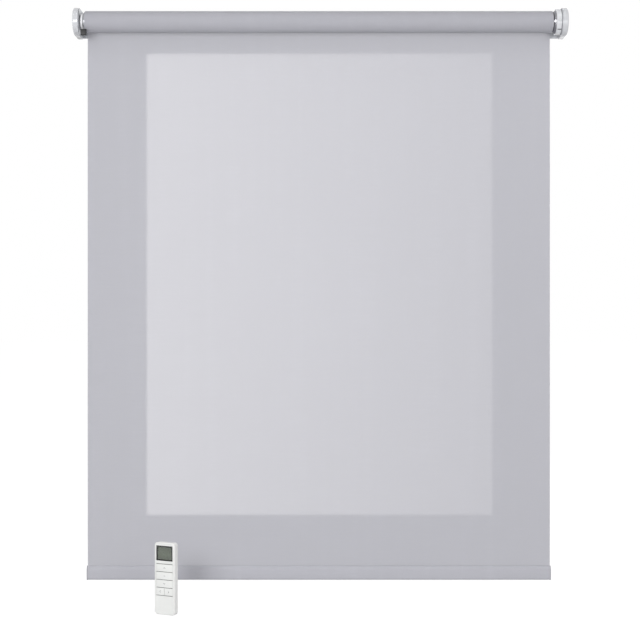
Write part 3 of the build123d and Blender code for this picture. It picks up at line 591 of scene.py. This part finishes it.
def makePlugDarkBlock():
    turn = math.radians(darkBlockSettings["turn"])
    outward = Vector((0, -math.cos(turn), math.sin(turn)))
    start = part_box("idler_plug")[0].x + darkBlockSettings["from"]
    place = Vector((start + darkBlockSettings["along"] / 2, rollAxis.y, rollAxis.z))
    place += outward * (darkBlockSettings["out"] - darkBlockSettings["thick"] / 2)
    bpy.ops.mesh.primitive_cube_add(size=1, location=place, rotation=(-turn, 0, 0))
    piece = newPiece("plugCatch")
    piece.scale = (darkBlockSettings["along"], darkBlockSettings["thick"], darkBlockSettings["round"])
    applyPlace(piece)
    bpy.ops.object.mode_set(mode="EDIT")
    pick(piece, "FACE", lambda face: face.normal.dot(outward) > facing)
    bpy.ops.mesh.inset(thickness=darkBlockSettings["rim"])
    bpy.ops.transform.translate(value=outward * -darkBlockSettings["sink"])
    bpy.ops.object.mode_set(mode="OBJECT")
    roundEdges(piece, darkBlockSettings["edge"], darkBlockSettings["sharperThan"])
    smoothBelow(darkBlockSettings["smoothBelow"])
    paint(piece, finish["blackNylon"])
    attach(piece, bodyOfNode["idler_plug"])


makePlugDarkBlock()
print("tube, bands and catch made")

# Cloth on the roll: one strip wound up, its turns seen as a spiral at both ends
woundSettings = {"turns": 5, "stepsPerTurn": 80, "pitch": 0.0004, "thickness": 0.00034, "smoothBelow": 30}


def makeWoundCloth():
    low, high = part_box("wound_cloth")
    width = high.x - low.x
    outer = high.y - rollAxis.y - woundSettings["pitch"] / 2

    def spiralPoint(step):
        turn = step / woundSettings["stepsPerTurn"]
        radius = outer - woundSettings["pitch"] * turn
        angle = 2 * math.pi * turn
        return Vector((0, radius * math.cos(angle), radius * math.sin(angle)))

    steps = range(woundSettings["turns"] * woundSettings["stepsPerTurn"])
    moves = [spiralPoint(step + 1) - spiralPoint(step) for step in steps]
    bpy.ops.mesh.primitive_plane_add(size=width, location=((low.x + high.x) / 2, 0, 0))
    piece = newPiece("woundCloth")
    applyPlace(piece)
    bpy.ops.object.mode_set(mode="EDIT")
    pick(piece, "VERT", lambda corner: corner.co.y < 0)
    bpy.ops.mesh.delete(type="VERT")
    pick(piece, "EDGE", lambda edge: True)
    bpy.ops.transform.translate(value=rollAxis + spiralPoint(0) - Vector((0, width / 2, 0)))
    for move in moves:
        bpy.ops.mesh.extrude_edges_move(TRANSFORM_OT_translate={"value": move})
    bpy.ops.object.mode_set(mode="OBJECT")
    addModifier(piece, "SOLIDIFY", thickness=woundSettings["thickness"], offset=0)
    smoothBelow(woundSettings["smoothBelow"])
    settle(piece, "wound_cloth")
    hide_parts("wound_cloth")


makeWoundCloth()
print("roll wound")

# Hanging cloth
hangingSettings = {"across": 90, "down": 104, "thickness": 0.00034, "billow": 0.0014, "billowSize": 0.3,
                   "billowDetail": 1, "still": 0.06, "cup": 0.0012, "cupReach": 0.03, "topRise": 0.003,
                   "topLean": 0.0003, "smoothBelow": 30}


def makeHangingCloth():
    low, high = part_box("hanging_cloth")
    width = high.x - low.x
    length = high.z - low.z
    still = hangingSettings["still"]
    bpy.ops.mesh.primitive_grid_add(x_subdivisions=hangingSettings["across"],
                                    y_subdivisions=hangingSettings["down"],
                                    size=1, location=(low + high) / 2, rotation=(math.pi / 2, 0, 0))
    piece = newPiece("hangingCloth")
    piece.scale = (width, length, 1)
    applyPlace(piece)

    # Soft billow, held still near the roll and the hem
    ripple(piece, "clothBillow", hangingSettings["billowSize"], hangingSettings["billowDetail"],
           hangingSettings["billow"], lambda place: min(1.0, min(high.z - place.z, place.z - low.z) / still))

    # The long edges cup a little towards the room
    bpy.ops.object.mode_set(mode="EDIT")
    for edgeX in (low.x, high.x):
        pick(piece, "VERT", lambda v: abs(v.co.x - edgeX) < nearly
             and low.z + still < v.co.z < high.z - still)
        bpy.ops.transform.translate(value=(0, -hangingSettings["cup"], 0), use_proportional_edit=True,
                                    proportional_edit_falloff="SHARP",
                                    proportional_size=hangingSettings["cupReach"])

    # The top row runs on over the back of the roll
    pick(piece, "VERT", lambda v: v.co.z > high.z - nearly)
    bpy.ops.transform.translate(value=(0, -hangingSettings["topLean"], hangingSettings["topRise"]))
    bpy.ops.object.mode_set(mode="OBJECT")
    addModifier(piece, "SOLIDIFY", thickness=hangingSettings["thickness"], offset=0)
    smoothBelow(hangingSettings["smoothBelow"])
    settle(piece, "hanging_cloth")
    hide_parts("hanging_cloth")
    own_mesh(piece)
    return piece


hangingCloth = makeHangingCloth()

# Hem pocket round the bar, welded flat along its top
hemSettings = {
    "sides": 44, "cuts": 48, "wall": 0.0004, "barHeight": 0.0225,
    "weld": 0.003, "weldEdge": 0.001,               # metres of cloth in the weld, and its flat edge
    "pucker": 0.00035, "puckerSize": 0.018, "puckerDetail": 2,
    "rounds": 1.5, "topRow": 0.05, "pull": 1.1,     # shares of the radius of the rounds
    "pinch": 0.5,                                   # share of its width that the top row keeps
    "smoothBelow": 40,                              # degrees
}


def makeHemPocket():
    low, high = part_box("hem_pocket")
    middleY = (low.y + high.y) / 2
    radius = (high.y - low.y) / 2
    roundZ = low.z + radius
    rise = hemSettings["barHeight"] - hemSettings["rounds"] * radius  # the pocket is straight for this long
    bpy.ops.mesh.primitive_circle_add(vertices=hemSettings["sides"], radius=radius,
                                      location=(low.x, middleY, roundZ), rotation=(0, math.pi / 2, 0))
    piece = newPiece("hemPocket")
    applyPlace(piece)
    bpy.ops.object.mode_set(mode="EDIT")
    pick(piece, "VERT", lambda v: v.co.z > roundZ + nearly)
    bpy.ops.transform.translate(value=(0, 0, rise))
    top = roundZ + rise + radius
    pick(piece, "VERT", lambda v: v.co.z > top - radius * hemSettings["topRow"])
    bpy.ops.transform.resize(value=(1, hemSettings["pinch"], 1), center_override=(low.x, middleY, top))
    bpy.ops.transform.translate(value=(0, 0, high.z - top), use_proportional_edit=True,
                                proportional_edit_falloff="SHARP",
                                proportional_size=radius * hemSettings["pull"])
    bpy.ops.mesh.select_mode(type="EDGE")
    bpy.ops.mesh.select_all(action="SELECT")
    span = (high.x - low.x) / hemSettings["cuts"]
    for cut in range(hemSettings["cuts"]):
        bpy.ops.mesh.extrude_edges_move(TRANSFORM_OT_translate={"value": (span, 0, 0)})
    bpy.ops.mesh.select_all(action="SELECT")
    bpy.ops.mesh.normals_make_consistent(inside=False)
    bpy.ops.object.mode_set(mode="OBJECT")

    # Small puckers above the lower round, none at the ends or at the weld's top edge
    def puckerShare(place):
        inside = low.x + span / 2 < place.x < high.x - span / 2
        return 1.0 if inside and roundZ < place.z < high.z - hemSettings["weldEdge"] else 0.0

    ripple(piece, "hemPucker", hemSettings["puckerSize"], hemSettings["puckerDetail"], hemSettings["pucker"],
           puckerShare)
    addModifier(piece, "SOLIDIFY", thickness=hemSettings["wall"], offset=-1)
    smoothBelow(hemSettings["smoothBelow"])
    settle(piece, "hem_pocket")
    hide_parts("hem_pocket")
    return piece


hemPocket = makeHemPocket()
print("cloth hung")

# Printed marks on the keys: two arms that meet in a point, or a dash
markSettings = {"stroke": 0.00055, "proud": 0.00006, "arm": 0.0027, "dash": 0.0036,  # metres
                "overlap": 0.92, "rounding": 0.35,  # shares of the arm and of the stroke
                "sharperThan": 30, "faceTurn": -25}  # degrees, the second as the remote stands
keyMarks = {  # each arm: side it lies on, left or right, then up or down, and its turn in degrees from level
    "key_up": [(-1, 0, 40), (1, 0, -40)],
    "key_down": [(-1, 0, -40), (1, 0, 40)],
    "key_stop": [(0, 0, 0)],
    "key_previous": [(0, 1, 50), (0, -1, -50)],
    "key_next": [(0, 1, -50), (0, -1, 50)],
}


def makeKeyMark(node):
    faceTurn = math.radians(markSettings["faceTurn"])
    outward = Vector((math.sin(faceTurn), -math.cos(faceTurn), 0))
    along = Vector((math.cos(faceTurn), math.sin(faceTurn), 0))
    low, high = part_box(node)
    middle = (low + high) / 2
    front = max((vertex.co - middle).dot(outward) for vertex in dressed[node].data.vertices)
    length = markSettings["dash" if node == "key_stop" else "arm"]
    reach = length / 2 * markSettings["overlap"]
    strokes = []
    for side, upper, degrees in keyMarks[node]:
        turn = math.radians(degrees)
        across = side * reach * math.cos(turn)
        up = upper * reach * math.sin(abs(turn))
        centre = middle + outward * front + along * across + Vector((0, 0, up))
        bpy.ops.mesh.primitive_cube_add(size=1, location=centre, rotation=(0, -turn, faceTurn))
        stroke = bpy.context.object
        stroke.scale = (length, markSettings["proud"] * 2, markSettings["stroke"])  # sunk by half
        strokes.append(stroke)
    bpy.ops.object.select_all(action="DESELECT")
    for stroke in strokes:
        stroke.select_set(True)
    bpy.context.view_layer.objects.active = strokes[0]
    if len(strokes) > 1:
        bpy.ops.object.join()
    mark = newPiece(camelName(node).replace("key", "mark"))
    applyPlace(mark)
    rounding = markSettings["stroke"] * markSettings["rounding"]
    roundEdges(mark, rounding, markSettings["sharperThan"], segments=3)
    paint(mark, finish["greyPadInk"])
    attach(mark, bodyOfNode[node])


for node in keyMarks:
    makeKeyMark(node)
print("marks printed:", len(keyMarks))

# Room: pale floor, soft studio light and the camera
roomSettings = {"floor": "D6D6D6", "floorShade": "D2D2D3", "floorSize": 60.0, "floorGap": 0.0002,
                "cloudScale": 1.2, "whiteShare": 0.66, "white": 1.35, "worldLight": 0.5}


def seenDirectly(tree):  # 1 for what the camera sees, straight or by way of gloss or glass
    path = addNode(tree, "ShaderNodeLightPath")
    total = path.outputs["Is Camera Ray"]
    for name in ("Is Glossy Ray", "Is Transmission Ray"):
        total = addNode(tree, "ShaderNodeMath", {0: total, 1: path.outputs[name]}, operation="ADD",
                        use_clamp=True).outputs[0]
    return total


def makeFloor():
    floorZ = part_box("handset_frame")[0].z - roomSettings["floorGap"]
    bpy.ops.mesh.primitive_plane_add(size=roomSettings["floorSize"], location=(0, 0, floorZ))
    floor = newPiece("paleFloor")
    material, tree, place = newMaterial("mattWhitePaint")
    clouds = addNode(tree, "ShaderNodeTexNoise", {"Vector": place, "Scale": roomSettings["cloudScale"],
                                                  "Detail": 2})
    color = addNode(tree, "ShaderNodeMix", {mixFactor: clouds.outputs["Fac"],
                                            mixFirst: hexColor(roomSettings["floor"]),
                                            mixSecond: hexColor(roomSettings["floorShade"])},
                    data_type="RGBA")
    matt = addNode(tree, "ShaderNodeBsdfDiffuse", {"Color": color.outputs[mixResult]})
    white = addNode(tree, "ShaderNodeEmission", {"Strength": roomSettings["white"]})
    share = addNode(tree, "ShaderNodeMath", {0: seenDirectly(tree), 1: roomSettings["whiteShare"]},
                    operation="MULTIPLY")
    both = addNode(tree, "ShaderNodeMixShader", {0: share.outputs[0], 1: matt.outputs[0],
                                                 2: white.outputs[0]})
    addNode(tree, "ShaderNodeOutputMaterial", {"Surface": both.outputs[0]})
    paint(floor, material)
    floor.select_set(False)


def makeWorld():
    world = bpy.data.worlds.new("studioAir")
    bpy.context.scene.world = world
    world.use_nodes = True
    tree = world.node_tree
    tree.nodes.clear()
    glow = addNode(tree, "ShaderNodeBackground", {"Color": (1, 1, 1, 1),
                                                  "Strength": roomSettings["worldLight"]})
    white = addNode(tree, "ShaderNodeBackground", {"Color": (1, 1, 1, 1), "Strength": 1.0})
    both = addNode(tree, "ShaderNodeMixShader", {0: seenDirectly(tree), 1: glow.outputs[0],
                                                 2: white.outputs[0]})
    addNode(tree, "ShaderNodeOutputWorld", {"Surface": both.outputs[0]})


lampSettings = {  # place, point looked at, size, watts
    "keySoftbox": ((-1.1, -2.6, -0.1), (0, 0, -0.5), (1.2, 0.8), 37),
    "fillSoftbox": ((1.5, -2.4, -0.8), (0, 0, -0.9), (1.6, 1.6), 21),
    "topSoftbox": ((0.4, -1.6, 1.9), (0, 0, -0.2), (1.6, 1.0), 9),
    "backSoftbox": ((0.9, 2.3, 0.5), (0, 0, -0.5), (1.4, 1.4), 9),
    "sideSoftbox": ((-1.4, -0.41, 0.1), (0.48, -0.06, 0), (0.3, 0.7), 0.2),
}
openBeam = 180  # degrees across the beam
narrowBeams = {"sideSoftbox": 14}


def makeLamp(name, spot, target, size, watts):
    bpy.ops.object.light_add(type="AREA", location=spot)
    lamp = bpy.context.object
    lamp.name = name
    lamp.data.shape = "RECTANGLE"
    lamp.data.size, lamp.data.size_y = size
    lamp.data.energy = watts
    lamp.data.spread = math.radians(narrowBeams.get(name, openBeam))
    lamp.rotation_euler = (Vector(target) - Vector(spot)).to_track_quat("-Z", "Y").to_euler()
    lamp.visible_camera = False
    return lamp


windowSettings = {"left": -0.356, "right": 0.352, "top": -0.060, "bottom": -1.005,  # metres
                  "behind": -0.0112,  # just off the wall
                  "watts": 1.08, "tint": (1.0, 0.98, 0.92), "leftShare": 1.4, "rightShare": 0.6}


def makeWindowLight():  # daylight from a pane close behind the cloth, stronger at its left
    left, right = windowSettings["left"], windowSettings["right"]
    top, bottom = windowSettings["top"], windowSettings["bottom"]
    spot = Vector(((left + right) / 2, windowSettings["behind"], (top + bottom) / 2))
    towardsRoom = spot + Vector((0, -1, 0))
    pane = makeLamp("windowPane", spot, towardsRoom, (right - left, top - bottom), windowSettings["watts"])
    pane.data.color = windowSettings["tint"]
    litByPane = bpy.data.collections.new("litByPane")  # the cloth in front of the pane, and nothing else
    litByPane.objects.link(hangingCloth)
    pane.light_linking.receiver_collection = litByPane
    pane.data.use_nodes = True
    tree = pane.data.node_tree
    tree.nodes.clear()
    place = addNode(tree, "ShaderNodeNewGeometry").outputs["Position"]
    across = addNode(tree, "ShaderNodeSeparateXYZ", {"Vector": place}).outputs["X"]
    fade = addNode(tree, "ShaderNodeMapRange", {
        "Value": across, "From Min": left, "From Max": right,
        "To Min": windowSettings["leftShare"], "To Max": windowSettings["rightShare"]})
    glow = addNode(tree, "ShaderNodeEmission", {"Strength": fade.outputs["Result"]})
    addNode(tree, "ShaderNodeOutputLight", {"Surface": glow.outputs["Emission"]})


cameraSettings = {"place": (-0.001, -2.664, -0.6056), "focalPixels": 1292.7, "imagePixels": 640,
                  "sensor": 36.0}


def makeCamera():  # level, square to the wall
    bpy.ops.object.camera_add(location=cameraSettings["place"], rotation=(math.pi / 2, 0, 0))
    camera = bpy.context.object
    camera.name = "photoCamera"
    sensor = cameraSettings["sensor"]
    camera.data.sensor_width = sensor
    camera.data.lens = cameraSettings["focalPixels"] / cameraSettings["imagePixels"] * sensor
    bpy.context.scene.camera = camera


makeFloor()
makeWorld()
for lampName, lampLook in lampSettings.items():
    makeLamp(lampName, *lampLook)
makeWindowLight()
makeCamera()
bpy.context.scene.view_settings.view_transform = "Standard"
print("room lit")
